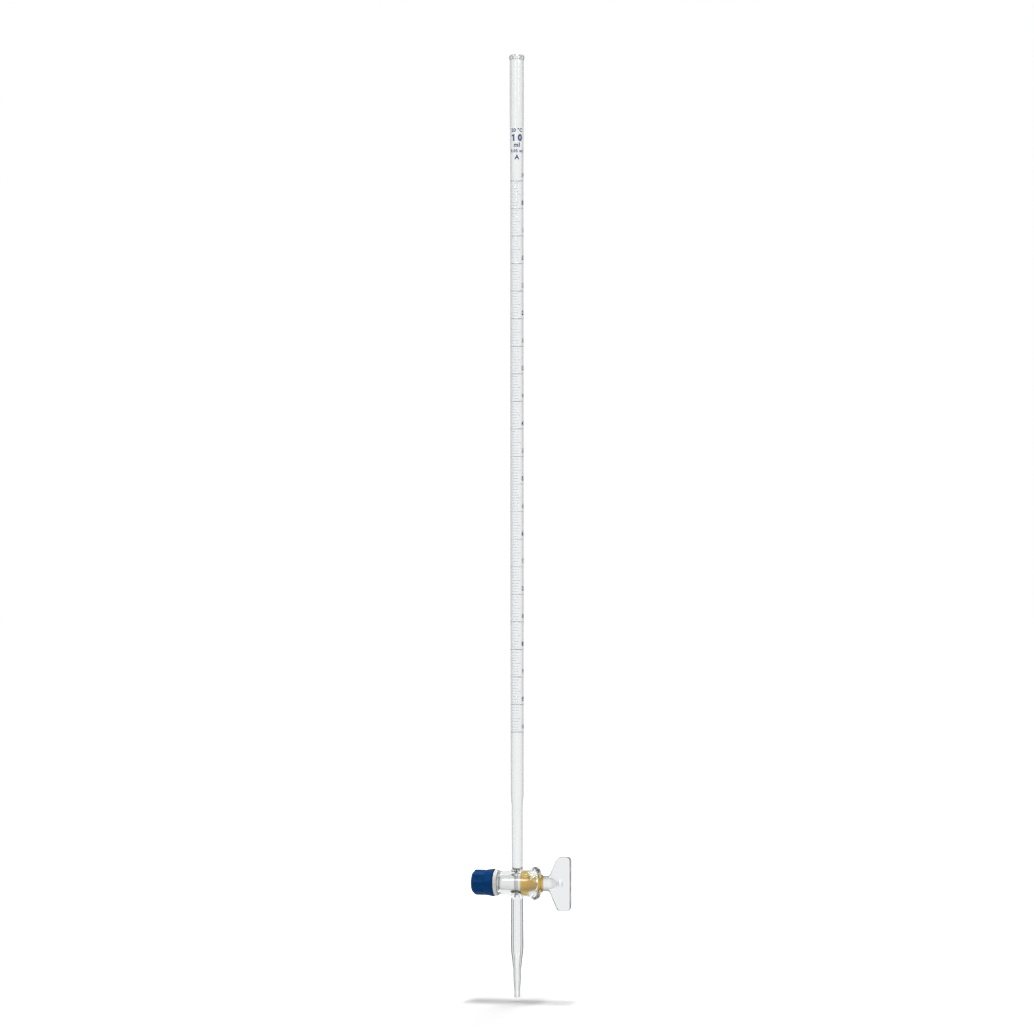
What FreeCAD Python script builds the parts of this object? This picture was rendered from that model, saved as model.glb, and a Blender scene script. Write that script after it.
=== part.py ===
import FreeCAD, Part
import math
import os

# Glass stopcock burette, 10 mL, 0.05 mL divisions, millimetres.
# Origin: centre of the jet's orifice. +Z runs up the tube axis, +X towards the key's handle,
# and the scale faces -Y.

# Graduated tube
tube_bore_radius = 3.0643         # holds 10 mL over the 339 mm from the 0 mL to the 10 mL line
tube_wall = 1.05
overall_height = 579.6
mouth_wall_gain = 0.28            # the wall thickens towards the mouth
mouth_taper_start = 526.0
mouth_taper_length = 10.0
lip_overhang = 0.34               # the beaded lip stands out from the mouth by this
lip_height = 2.4
lip_edge_chamfer = 0.6

# Shoulder and stem under the scale
shoulder_height = 118.8
shoulder_length = 4.4
stem_radius = 3.54
stem_wall = 1.04

# Stopcock barrel, lying along X
stopcock_height = 70.4            # the barrel's axis above the orifice
barrel_left = -11.5
barrel_left_radius = 7.3
barrel_waist = -8.0               # the barrel starts to widen here
barrel_right = 14.5
bead_radius = 3.3                 # section of the heavy half-round bead at the wide mouth
bead_outer_radius = 10.3
bead_steps = 4                    # straight steps round the bead's half circle
barrel_end_chamfer = 0.9
arm_funnel_start = 5.9            # the bores of stem and jet close in to the port here
arm_funnel_length = 2.6
port_radius = 1.2                 # holes through the barrel's wall

# Ground key
key_cone_slope = 0.05             # 1 in 10 on the diameter
key_radius_at_bore = 4.72
key_small_end = -11.0
key_large_end = 16.0
key_clearance = 0.04
key_bore_radius = 1.0
neck_radius = 4.85
neck_seam = 19.2                  # the pressed handle is fused to the plug here
spindle_radius = 3.0
spindle_end = -26.0
spindle_chamfer = 0.5
spindle_flat = 2.4                # height of the flat above the spindle's axis

# Pressed glass handle
neck_straight = 2.2               # length of the plain neck before it fades into the plate
handle_left = 20.4
handle_right = 33.8
handle_height = 33.5
handle_thickness = 6.2
handle_root_height = 9.8
handle_flank_run = 5.4
handle_corner_radius = 2.4
handle_edge_chamfer = 1.2
neck_nose = 26.4                  # the round neck fades into the plate here
neck_nose_radius = 3.35

# Amber sleeve, the wide half of the ground cone
sleeve_start = 3.2
sleeve_wall = 0.33                # at its thin end; its seat on the plug is a plain cylinder

# Washer, ring and retaining nut
washer_clearance = 0.08           # from the washer to the barrel's end face
washer_thickness = 2.4
washer_radius = 8.1
washer_hole_clearance = 0.15
ring_width = 2.3
ring_thickness = 2.1              # from its hole to its rim
ring_clearance = 0.2
ring_bore_clearance = 0.5
nut_clearance = 0.22              # from the skirt's rim to the washer
nut_length = 13.8
nut_core_radius = 7.15
nut_skirt_start = -20.4
nut_skirt_radius = 8.75
nut_end_chamfer = 1.3
nut_bore_clearance = 0.5
nut_bore_depth = 12.0
nut_recess_radius = 6.6
nut_rib_count = 8
nut_rib_radius = 2.0
nut_rib_top_radius = 7.85

# Jet
jet_radius = 3.87
jet_bore_radius = 1.45
jet_neck_top = 30.4
jet_neck_bottom = 18.6
jet_neck_radius = 2.32
jet_neck_bore_radius = 0.7
jet_spout_height = 10.8
jet_tip_height = 5.8
jet_tip_radius = 1.69
jet_orifice_radius = 0.45
jet_orifice_length = 4.0
jet_bore_taper = 6.0              # height of the bore's taper above the neck's lower end

# Worked out from the sizes above
tube_radius = tube_bore_radius + tube_wall
mouth_radius = tube_radius + mouth_wall_gain
lip_radius = mouth_radius + lip_overhang
stem_bore_radius = stem_radius - stem_wall
funnel_end = arm_funnel_start + arm_funnel_length
washer_right = barrel_left - washer_clearance
washer_left = washer_right - washer_thickness
nut_right = washer_left - nut_clearance
nut_left = nut_right - nut_length
ring_right = washer_left - ring_clearance
ring_left = ring_right - ring_width
recess_bottom = ring_left - ring_clearance
nut_bore_radius = spindle_radius + nut_bore_clearance

Z_AXIS = FreeCAD.Vector(0, 0, 1)
X_AXIS = FreeCAD.Vector(1, 0, 0)


def key_radius(x):
    """Radius of the ground cone at the distance x from the cross bore."""
    return key_radius_at_bore + key_cone_slope * x


def sleeve_seat():
    """Radius of the plug's plain seat under the sleeve."""
    return key_radius(sleeve_start) - sleeve_wall


def upright(along, radius):
    """A profile point of a piece turned about the tube's axis."""
    return FreeCAD.Vector(radius, 0, along)


def lying(along, radius):
    """A profile point of a piece turned about the stopcock's axis."""
    return FreeCAD.Vector(along, 0, stopcock_height + radius)


def outline(corners, place):
    """Closed wire through corners (along, radius, rounding), each rounded by a tangent arc."""
    points = [place(corner[0], corner[1]) for corner in corners]
    roundings = [corner[2] if len(corner) > 2 else 0.0 for corner in corners]
    count = len(points)
    edges = []
    starts = []
    ends = []
    arcs = []
    for i in range(count):
        before = (points[i - 1] - points[i]).normalize()
        after = (points[(i + 1) % count] - points[i]).normalize()
        if roundings[i] == 0.0:
            starts.append(points[i])
            ends.append(points[i])
            arcs.append(None)
            continue
        half = before.getAngle(after) / 2
        reach = roundings[i] / math.tan(half)
        middle = (before + after).normalize()
        crown = roundings[i] / math.sin(half) - roundings[i]
        starts.append(points[i] + before * reach)
        ends.append(points[i] + after * reach)
        arcs.append(points[i] + middle * crown)
    for i in range(count):
        if arcs[i] is not None:
            edges.append(Part.Arc(starts[i], arcs[i], ends[i]).toShape())
        edges.append(Part.LineSegment(ends[i], starts[(i + 1) % count]).toShape())
    return Part.Wire(edges)


def turned(corners, place, axis):
    """Solid made by turning a rounded outline about its axis."""
    centre = place(0, 0)
    return Part.Face(outline(corners, place)).revolve(centre, axis, 360)


def turned_upright(corners):
    """Solid turned about the tube's axis."""
    return turned(corners, upright, Z_AXIS)


def turned_lying(corners):
    """Solid turned about the stopcock's axis."""
    return turned(corners, lying, X_AXIS)


def graduated_tube():
    """Measuring tube with its shoulder, thickened mouth and beaded lip."""
    lip_bottom = overall_height - lip_height
    return turned_upright([
        (shoulder_height, stem_bore_radius),
        (shoulder_height, stem_radius),
        (shoulder_height + shoulder_length, tube_radius),
        (mouth_taper_start, tube_radius),
        (mouth_taper_start + mouth_taper_length, mouth_radius),
        (lip_bottom - lip_overhang, mouth_radius),
        (lip_bottom, lip_radius),
        (overall_height - lip_edge_chamfer, lip_radius),
        (overall_height, lip_radius - lip_edge_chamfer),
        (overall_height, tube_bore_radius),
        (shoulder_height + shoulder_length, tube_bore_radius),
    ])


def barrel_body():
    """Outside of the stopcock barrel, before its bore is made."""
    bead_x = barrel_right - bead_radius
    corners = [
        (barrel_left, 0),
        (barrel_left, barrel_left_radius - barrel_end_chamfer),
        (barrel_left + barrel_end_chamfer, barrel_left_radius),
        (barrel_waist, barrel_left_radius),
    ]
    for step in range(1, bead_steps + 1):
        angle = math.pi * (1 - step / bead_steps)
        corners.append((bead_x + bead_radius * math.cos(angle),
                        bead_outer_radius - bead_radius * (1 - math.sin(angle))))
    return turned_lying(corners + [(barrel_right, 0)])


def barrel_bore():
    """Tapered ground bore for the key."""
    return turned_lying([
        (barrel_left, 0),
        (barrel_left, key_radius(barrel_left) + key_clearance),
        (barrel_right, key_radius(barrel_right) + key_clearance),
        (barrel_right, 0),
    ])


def stem_passage():
    """Bore of the stem, closing in to the port through the barrel's wall."""
    return turned_upright([
        (stopcock_height, 0),
        (stopcock_height, port_radius),
        (stopcock_height + arm_funnel_start, port_radius),
        (stopcock_height + funnel_end, stem_bore_radius),
        (shoulder_height, stem_bore_radius),
        (shoulder_height, 0),
    ])


def jet_tube():
    """Outside of the thick-walled delivery jet, drawn down to its tip, from the barrel's axis."""
    return turned_upright([
        (0, 0),
        (0, jet_tip_radius),
        (jet_tip_height, jet_tip_radius),
        (jet_spout_height, jet_neck_radius),
        (jet_neck_bottom, jet_neck_radius),
        (jet_neck_top, jet_radius),
        (stopcock_height, jet_radius),
        (stopcock_height, 0),
    ])


def jet_passage():
    """Bore of the jet, from the port through the barrel's wall to the fine orifice."""
    return turned_upright([
        (0, 0),
        (0, jet_orifice_radius),
        (jet_orifice_length, jet_orifice_radius),
        (jet_tip_height, jet_neck_bore_radius),
        (jet_neck_bottom, jet_neck_bore_radius),
        (jet_neck_bottom + jet_bore_taper, jet_bore_radius),
        (stopcock_height - funnel_end, jet_bore_radius),
        (stopcock_height - arm_funnel_start, port_radius),
        (stopcock_height, port_radius),
        (stopcock_height, 0),
    ])


def stopcock_body():
    """Stem, barrel with its bead and jet in one piece of glass, bored for the key and the liquid."""
    stem = Part.makeCylinder(stem_radius, shoulder_height - stopcock_height, lying(0, 0), Z_AXIS)
    shape = barrel_body().fuse([stem, jet_tube()]).removeSplitter()
    return shape.cut([barrel_bore(), stem_passage(), jet_passage()]).removeSplitter().Solids[0]


def key_plug():
    """Ground plug of the key: spindle with its flat, cone with its cross bore, and neck."""
    body = turned_lying([
        (spindle_end, 0),
        (spindle_end, spindle_radius - spindle_chamfer),
        (spindle_end + spindle_chamfer, spindle_radius),
        (key_small_end, spindle_radius),
        (key_small_end, key_radius(key_small_end)),
        (sleeve_start, key_radius(sleeve_start)),
        (sleeve_start, sleeve_seat()),
        (key_large_end, sleeve_seat()),
        (key_large_end, neck_radius),
        (neck_seam, neck_radius),
        (neck_seam, 0),
    ])
    reach = key_radius(0) + 1
    bore = Part.makeCylinder(key_bore_radius, 2 * reach, lying(0, -reach), Z_AXIS)
    flat = Part.makeBox(key_small_end - spindle_end, 2 * spindle_radius, spindle_radius,
                        lying(spindle_end, spindle_flat) - FreeCAD.Vector(0, spindle_radius, 0))
    return body.cut([bore, flat]).Solids[0]


def handle_plate():
    """Flat plate of the handle with rounded corners and bevelled edges."""
    half = handle_height / 2
    root = handle_root_height / 2
    corners = [
        (handle_left, -root),
        (handle_left + handle_flank_run, -half, handle_corner_radius),
        (handle_right, -half, handle_corner_radius),
        (handle_right, half, handle_corner_radius),
        (handle_left + handle_flank_run, half, handle_corner_radius),
        (handle_left, root),
    ]
    face = Part.Face(outline(corners, lying))
    face.translate(FreeCAD.Vector(0, -handle_thickness / 2, 0))
    plate = face.extrude(FreeCAD.Vector(0, handle_thickness, 0))
    rims = [edge for edge in plate.Edges
            if abs(abs(edge.CenterOfMass.y) - handle_thickness / 2) < 0.01]
    return plate.makeChamfer(handle_edge_chamfer, rims)


def key_handle():
    """Pressed glass handle: a flat plate with the round neck fading into it."""
    neck = turned_lying([
        (neck_seam, 0),
        (neck_seam, neck_radius),
        (neck_seam + neck_straight, neck_radius),
        (neck_nose, neck_nose_radius),
        (neck_nose, 0),
    ])
    return neck.fuse(handle_plate()).removeSplitter().Solids[0]


def taper_sleeve():
    """Amber sleeve that forms the wide half of the ground cone."""
    return turned_lying([
        (sleeve_start, sleeve_seat()),
        (sleeve_start, key_radius(sleeve_start)),
        (key_large_end, key_radius(key_large_end)),
        (key_large_end, sleeve_seat()),
    ])


def thrust_washer():
    """Washer with a D-shaped hole, so that it turns with the key."""
    hole_radius = spindle_radius + washer_hole_clearance
    disc = Part.makeCylinder(washer_radius, washer_thickness, lying(washer_left, 0), X_AXIS)
    hole = Part.makeCylinder(hole_radius, washer_thickness, lying(washer_left, 0), X_AXIS)
    above_flat = Part.makeBox(washer_thickness, 2 * hole_radius, hole_radius,
                              lying(washer_left, spindle_flat + washer_hole_clearance)
                              - FreeCAD.Vector(0, hole_radius, 0))
    return disc.cut(hole.cut(above_flat)).Solids[0]


def seal_ring():
    """Square-cut rubber ring between the washer and the retaining nut."""
    hole_radius = spindle_radius + ring_bore_clearance
    ring = Part.makeCylinder(hole_radius + ring_thickness, ring_width, lying(ring_left, 0), X_AXIS)
    hole = Part.makeCylinder(hole_radius, ring_width, lying(ring_left, 0), X_AXIS)
    return ring.cut(hole)


def nut_rib(turn):
    """One rib along the nut, turned about its axis by this many degrees."""
    start = nut_left + nut_end_chamfer
    centre_radius = nut_rib_top_radius - nut_rib_radius
    rib = Part.makeCylinder(nut_rib_radius, nut_skirt_start - start, lying(start, centre_radius), X_AXIS)
    rib.rotate(lying(0, 0), X_AXIS, turn)
    return rib


def retaining_nut():
    """Ribbed plastic nut with a flared skirt, a recess for the ring and a blind threaded bore."""
    shell = turned_lying([
        (nut_left, 0),
        (nut_left, nut_core_radius - nut_end_chamfer),
        (nut_left + nut_end_chamfer, nut_core_radius),
        (nut_skirt_start, nut_core_radius),
        (nut_skirt_start, nut_rib_top_radius),
        (nut_right, nut_skirt_radius),
        (nut_right, nut_recess_radius),
        (recess_bottom, nut_recess_radius),
        (recess_bottom, nut_bore_radius),
        (nut_right - nut_bore_depth, nut_bore_radius),
        (nut_right - nut_bore_depth, 0),
    ])
    bore = Part.makeCylinder(nut_bore_radius, nut_bore_depth, lying(nut_right - nut_bore_depth, 0), X_AXIS)
    ribs = [nut_rib(i * 360.0 / nut_rib_count) for i in range(nut_rib_count)]
    return shell.fuse(ribs).cut(bore).removeSplitter().Solids[0]


PIECES = {
    "graduated_tube": graduated_tube,
    "stopcock_body": stopcock_body,
    "key_plug": key_plug,
    "key_handle": key_handle,
    "taper_sleeve": taper_sleeve,
    "thrust_washer": thrust_washer,
    "seal_ring": seal_ring,
    "retaining_nut": retaining_nut,
}

os.makedirs("parts", exist_ok=True)
for node, build in PIECES.items():
    shape = build()
    shape.exportStep("parts/" + node + ".step")
    box = shape.BoundBox
    print(node, "solids", len(shape.Solids), "valid", shape.isValid(), "volume", round(shape.Volume, 2),
          "box", [round(v, 2) for v in (box.XMin, box.YMin, box.ZMin, box.XMax, box.YMax, box.ZMax)])
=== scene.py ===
import logging
import math
from dataclasses import dataclass
from enum import Enum, IntEnum
from typing import Any, Callable, Sequence

import bmesh
import bpy
from mathutils import Matrix, Quaternion, Vector


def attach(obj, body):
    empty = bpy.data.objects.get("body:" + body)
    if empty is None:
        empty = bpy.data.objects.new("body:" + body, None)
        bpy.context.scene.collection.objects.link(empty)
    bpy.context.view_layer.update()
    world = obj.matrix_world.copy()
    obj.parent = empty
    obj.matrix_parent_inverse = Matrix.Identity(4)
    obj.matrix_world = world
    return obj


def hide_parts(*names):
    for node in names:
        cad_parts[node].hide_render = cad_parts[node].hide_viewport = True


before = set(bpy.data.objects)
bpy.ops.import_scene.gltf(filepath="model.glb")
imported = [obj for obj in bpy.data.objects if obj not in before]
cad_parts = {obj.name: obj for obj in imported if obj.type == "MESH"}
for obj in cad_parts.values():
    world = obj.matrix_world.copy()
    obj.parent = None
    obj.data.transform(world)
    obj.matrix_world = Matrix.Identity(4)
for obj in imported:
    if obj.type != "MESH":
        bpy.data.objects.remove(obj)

# The part's own frame has its origin at the centre of the jet's orifice. +Z runs up the tube, and
# +X runs along the stopcock towards the handle and counts from the tube's axis. Sizes are in
# millimetres, and MM turns them into the frame's metres. The studio's sizes are in metres.

MM = 0.001
ROUND = 96  # steps round a turned piece
FINE_ROUND = 128  # steps round the barrel and its bore
AXIS_Z = 70.4 * MM  # height of the stopcock's axis
AXIS = AXIS_Z / MM
VIEW_TURN = 13.0  # degrees that the camera stands round to the right
SLIVER = 0.003 * MM  # shorter edges are merged after a cut
SWELL_START = 512.0  # from here up the plain top of the tube widens
SWELL_END = 546.0
SWELL = 0.28  # by this much in radius
GLASS_IOR = 1.473
WHITE = (1.0, 1.0, 1.0, 1.0)

Point = tuple[float, float]

log = logging.getLogger("burette")


class Lie(Enum):
    """Which way a turned piece lies."""

    UPRIGHT = "along the tube"
    LYING = "along the stopcock"


class BodyGlass(IntEnum):
    """The glasses of the tube and stopcock, by their place in its list of materials."""

    DRAWN = 0
    GROUND = 1
    JET = 2
    LIP = 3
    BORE = 4
    BARREL = 5


class KeyGlass(IntEnum):
    """The glasses of the key, by their place in its list of materials."""

    PRESSED = 0
    GROUND = 1
    RIM = 2


def linear(colour: str) -> tuple[float, float, float, float]:
    """Turn an sRGB hex colour into Blender's linear one.

    Args:
        colour: six hex digits with a leading hash sign.

    Returns:
        Red, green, blue and an alpha of one.
    """
    parts = [int(colour[i:i + 2], 16) / 255 for i in (1, 3, 5)]
    flat = [p / 12.92 if p <= 0.04045 else ((p + 0.055) / 1.055) ** 2.4 for p in parts]
    return flat[0], flat[1], flat[2], 1.0


def add_node(tree: bpy.types.NodeTree, kind: str, settings: dict[str, Any] | None = None,
             inputs: dict[Any, Any] | None = None) -> bpy.types.Node:
    """Add one node to a tree.

    Args:
        tree: the node tree that gets the node.
        kind: the node's type name.
        settings: properties of the node by name.
        inputs: values or output sockets, by input name or index.

    Returns:
        The new node.
    """
    node = tree.nodes.new(kind)
    for name, value in (settings or {}).items():
        setattr(node, name, value)
    for name, value in (inputs or {}).items():
        if isinstance(value, bpy.types.NodeSocket):
            tree.links.new(value, node.inputs[name])
        else:
            node.inputs[name].default_value = value
    return node


def new_material(
        name: str, values: dict[str, Any]) -> tuple[bpy.types.Material, bpy.types.NodeTree, bpy.types.Node]:
    """Make a material with one Principled shader.

    Args:
        name: the real material's name.
        values: the shader's plain values by input name.

    Returns:
        The material, its node tree and the shader node.
    """
    material = bpy.data.materials.new(name)
    material.use_nodes = True
    tree = material.node_tree
    tree.nodes.clear()
    shader = add_node(tree, "ShaderNodeBsdfPrincipled", inputs=values)
    add_node(tree, "ShaderNodeOutputMaterial", inputs={"Surface": shader.outputs[0]})
    return material, tree, shader


def grain(tree: bpy.types.NodeTree, per_mm: tuple[float, float, float], detail: float = 3.0,
          distortion: float = 0.0) -> bpy.types.NodeSocket:
    """Add a noise in object space with its own count of bumps per millimetre on each axis.

    Args:
        tree: the node tree.
        per_mm: bumps per millimetre along X, Y and Z.
        detail: octaves of the noise.
        distortion: how far the noise is warped.

    Returns:
        The noise value from 0 to 1.
    """
    spot = add_node(tree, "ShaderNodeTexCoord")
    scale = tuple(count / MM for count in per_mm)
    mapping = add_node(tree, "ShaderNodeMapping", inputs={"Vector": spot.outputs["Object"], "Scale": scale})
    noise = add_node(tree, "ShaderNodeTexNoise",
                     inputs={"Vector": mapping.outputs[0], "Scale": 1.0, "Detail": detail,
                             "Distortion": distortion})
    return noise.outputs[0]


def tint(tree: bpy.types.NodeTree, shader: bpy.types.Node, factor: bpy.types.NodeSocket,
         stops: Sequence[tuple[float, str]]) -> None:
    """Colour a shader by stops over a factor.

    Args:
        tree: the node tree.
        shader: the shader that gets the colour.
        factor: the socket that picks the colour.
        stops: position and hex colour of each stop, from low to high.
    """
    node = add_node(tree, "ShaderNodeValToRGB", inputs={"Fac": factor})
    elements = node.color_ramp.elements
    while len(elements) < len(stops):
        elements.new(0.5)
    for element, (position, colour) in zip(elements, stops):
        element.position = position
        element.color = linear(colour)
    tree.links.new(node.outputs["Color"], shader.inputs["Base Color"])


def roughen(tree: bpy.types.NodeTree, shader: bpy.types.Node, texture: bpy.types.NodeSocket,
            low: float, high: float, depth_mm: float, strength: float) -> None:
    """Let one texture drive a shader's roughness and its relief.

    Args:
        tree: the node tree.
        shader: the shader that gets both.
        texture: a socket from 0 to 1.
        low: roughness where the texture is 0.
        high: roughness where it is 1.
        depth_mm: depth of the relief in millimetres.
        strength: how strongly it tilts the surface.
    """
    rough = add_node(tree, "ShaderNodeMapRange", inputs={"Value": texture, "To Min": low, "To Max": high})
    tree.links.new(rough.outputs[0], shader.inputs["Roughness"])
    relief = add_node(tree, "ShaderNodeBump",
                      inputs={"Height": texture, "Distance": depth_mm * MM, "Strength": strength})
    tree.links.new(relief.outputs[0], shader.inputs["Normal"])


@dataclass(frozen=True)
class GlassFinish:
    """Clear borosilicate: near-white through its face, with painted shade that greys it where the eye
    grazes its wall and draws its edges.
    """

    name: str
    tint_and_edge_shade: tuple[tuple[float, str], ...]
    ripple_mm: float = 0.0002

    def build(self) -> bpy.types.Material:
        """Return the finished material."""
        material, tree, shader = new_material(self.name, {
            "Roughness": 0.0, "Transmission Weight": 1.0, "IOR": GLASS_IOR})
        # Painted shade: the colour darkens with the facing angle, so each edge of the glass is drawn grey.
        weight = add_node(tree, "ShaderNodeLayerWeight", inputs={"Blend": 0.5})
        tint(tree, shader, weight.outputs["Facing"], self.tint_and_edge_shade)
        drawn = grain(tree, (0.2, 0.2, 0.03), 1.0)
        ripple = add_node(tree, "ShaderNodeBump",
                          inputs={"Height": drawn, "Distance": self.ripple_mm * MM, "Strength": 1.0})
        tree.links.new(ripple.outputs[0], shader.inputs["Normal"])
        return material


@dataclass(frozen=True)
class GroundGlassFinish:
    """Greased ground glass: translucent, with the fine tooth of the grinding still in it and painted shade
    towards its grazing edge.
    """

    name: str
    face: str = "#F8F9F8"
    edge: str = "#D2D5D5"
    low_roughness: float = 0.16
    high_roughness: float = 0.32
    tooth_mm: float = 0.004

    def build(self) -> bpy.types.Material:
        """Return the finished material."""
        material, tree, shader = new_material(self.name, {"Transmission Weight": 1.0, "IOR": GLASS_IOR})
        # Painted shade: the colour goes from the face's tint to a grey edge with the facing angle.
        weight = add_node(tree, "ShaderNodeLayerWeight", inputs={"Blend": 0.5})
        tint(tree, shader, weight.outputs["Facing"], [(0.0, self.face), (0.95, self.edge)])
        tooth = grain(tree, (2.4, 7.0, 7.0), 4.0)
        roughen(tree, shader, tooth, self.low_roughness, self.high_roughness, self.tooth_mm, 0.5)
        return material


@dataclass(frozen=True)
class AmberFinish:
    """Thin amber plastic: honey yellow with deeper streaks, half clear, slightly waxy."""

    name: str
    pale: str = "#FFEA88"
    deep: str = "#FFD14A"
    low_roughness: float = 0.12
    high_roughness: float = 0.22
    grain_mm: float = 0.006

    def build(self) -> bpy.types.Material:
        """Return the finished material."""
        material, tree, shader = new_material(self.name, {"Transmission Weight": 0.9, "IOR": 1.5})
        cloud = grain(tree, (0.16, 0.3, 0.3), 4.0, 0.6)
        tint(tree, shader, cloud, [(0.32, self.deep), (0.68, self.pale)])
        fine = grain(tree, (3.0, 3.0, 3.0))
        roughen(tree, shader, fine, self.low_roughness, self.high_roughness, self.grain_mm, 0.4)
        return material


@dataclass(frozen=True)
class PlasticFinish:
    """Moulded plastic: an even colour broken by faint flow marks, satin, with a fine skin texture."""

    name: str
    light: str
    dark: str
    low_roughness: float
    high_roughness: float
    specular: float = 0.3
    scatter: float = 0.0
    grain_mm: float = 0.01
    ior: float = 1.49

    def build(self) -> bpy.types.Material:
        """Return the finished material."""
        material, tree, shader = new_material(self.name, {
            "IOR": self.ior, "Specular IOR Level": self.specular, "Subsurface Weight": self.scatter,
            "Subsurface Radius": (1.0, 1.0, 1.0), "Subsurface Scale": 0.5 * MM})
        flow = grain(tree, (0.12, 0.35, 0.35), 4.0, 0.8)
        tint(tree, shader, flow, [(0.35, self.dark), (0.65, self.light)])
        skin = grain(tree, (6.0, 6.0, 6.0), 4.0)
        roughen(tree, shader, skin, self.low_roughness, self.high_roughness, self.grain_mm, 0.35)
        return material


@dataclass(frozen=True)
class EnamelFinish:
    """Fired enamel print: dense colour with pin-fine unevenness and a soft gloss."""

    name: str
    body: str
    worn: str
    low_roughness: float = 0.3
    high_roughness: float = 0.5
    speck_mm: float = 0.006

    def build(self) -> bpy.types.Material:
        """Return the finished material."""
        material, tree, shader = new_material(self.name, {"IOR": 1.52})
        speck = grain(tree, (5.0, 5.0, 5.0), 5.0)
        tint(tree, shader, speck, [(0.3, self.worn), (0.55, self.body)])
        roughen(tree, shader, speck, self.low_roughness, self.high_roughness, self.speck_mm, 0.5)
        return material


def rounded(corners: Sequence[Sequence[float]], steps: int = 7) -> list[Point]:
    """Round the corners of an outline by tangent arcs.

    Args:
        corners: along, radius and optional rounding of each corner, in millimetres.
        steps: straight steps in each arc.

    Returns:
        The outline's points in millimetres.
    """
    given = [(c[0], c[1], c[2] if len(c) > 2 else 0.0) for c in corners]
    points: list[Point] = []
    for i, (along, radius, rounding) in enumerate(given):
        here = Vector((along, radius))
        if rounding == 0.0 or i in (0, len(given) - 1):
            points.append((along, radius))
            continue
        before = (Vector(given[i - 1][:2]) - here).normalized()
        after = (Vector(given[i + 1][:2]) - here).normalized()
        half = before.angle(after) / 2
        room = min((Vector(given[i - 1][:2]) - here).length, (Vector(given[i + 1][:2]) - here).length)
        reach = min(rounding / math.tan(half), 0.49 * room)
        centre = here + (before + after).normalized() * (reach / math.cos(half))
        first = here + before * reach - centre
        last = here + after * reach - centre
        turn = first.angle_signed(last)
        for k in range(steps + 1):
            spoke = first.copy()
            spoke.rotate(Matrix.Rotation(-turn * k / steps, 2))
            points.append((centre.x + spoke.x, centre.y + spoke.y))
    return points


def ring_outline(left: float, right: float, hole: float, rim: float,
                 roundings: tuple[float, float, float]) -> list[Point]:
    """Return the closed outline of a flat ring, begun inside its hole.

    Args:
        left: its left face.
        right: its right face.
        hole: radius of its hole.
        rim: radius of its rim.
        roundings: rounding of the hole's corners, the rim's left corner and its right one.

    Returns:
        The outline's points in millimetres.
    """
    middle = (left + right) / 2
    return rounded([
        (middle, hole),
        (left, hole, roundings[0]),
        (left, rim, roundings[1]),
        (right, rim, roundings[2]),
        (right, hole, roundings[0]),
        (middle + 0.01, hole),
    ], 6)


def bare_object(name: str, shape: bmesh.types.BMesh) -> bpy.types.Object:
    """Put a bmesh into a new object at the origin.

    Args:
        name: the object's name.
        shape: the mesh data, freed here.

    Returns:
        The linked object.
    """
    mesh = bpy.data.meshes.new(name)
    shape.to_mesh(mesh)
    shape.free()
    item = bpy.data.objects.new(name, mesh)
    bpy.context.scene.collection.objects.link(item)
    return item


def place(lie: Lie, along: float, radius: float, angle: float) -> Vector:
    """Give the point of a turned piece.

    Args:
        lie: which way the piece lies.
        along: distance along its axis in millimetres.
        radius: distance from its axis in millimetres.
        angle: turn about the axis in radians.

    Returns:
        The point in metres.
    """
    across = radius * math.cos(angle) * MM
    over = radius * math.sin(angle) * MM
    if lie is Lie.UPRIGHT:
        return Vector((across, over, along * MM))
    return Vector((along * MM, -over, AXIS_Z + across))


def fill_rows(shape: bmesh.types.BMesh, rows: Sequence[Sequence[bmesh.types.BMVert]],
              ring: bool = False) -> None:
    """Fill the bands between rows of points that run round an axis.

    Args:
        shape: the mesh that gets the faces.
        rows: the rows in order; a row of one point closes in a fan.
        ring: whether the last row joins the first.
    """
    following = [*rows[1:], rows[0]] if ring else rows[1:]
    for low, high in zip(rows, following):
        count = max(len(low), len(high))
        for k in range(count):
            after = (k + 1) % count
            corners = [low[k % len(low)], low[after % len(low)],
                       high[after % len(high)], high[k % len(high)]]
            unique = list(dict.fromkeys(corners))
            if len(unique) > 2:
                shape.faces.new(unique)


def turned(name: str, outline: Sequence[Point], lie: Lie, segments: int = ROUND,
           ring: bool = False) -> bpy.types.Object:
    """Turn an outline about its axis into a closed solid.

    Args:
        name: the object's name.
        outline: points in millimetres; unless it is a ring, its first and last lie on the axis.
        lie: which way the piece lies.
        segments: steps round the axis.
        ring: whether the outline is a closed loop clear of the axis.

    Returns:
        The turned solid.
    """
    shape = bmesh.new()
    rows: list[list[bmesh.types.BMVert]] = []
    for along, radius in outline:
        spokes = [math.tau * k / segments for k in range(segments if radius > 0.0 else 1)]
        rows.append([shape.verts.new(place(lie, along, radius, angle)) for angle in spokes])
    fill_rows(shape, rows, ring)
    bmesh.ops.recalc_face_normals(shape, faces=shape.faces)
    return bare_object(name, shape)


def applied(item: bpy.types.Object) -> bpy.types.Object:
    """Bake an object's modifiers into its mesh.

    Args:
        item: the object with modifiers.

    Returns:
        The same object with a plain mesh.
    """
    graph = bpy.context.evaluated_depsgraph_get()
    mesh = bpy.data.meshes.new_from_object(item.evaluated_get(graph))
    item.modifiers.clear()
    old = item.data
    item.data = mesh
    bpy.data.meshes.remove(old)
    mesh.name = item.name
    return item


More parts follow.
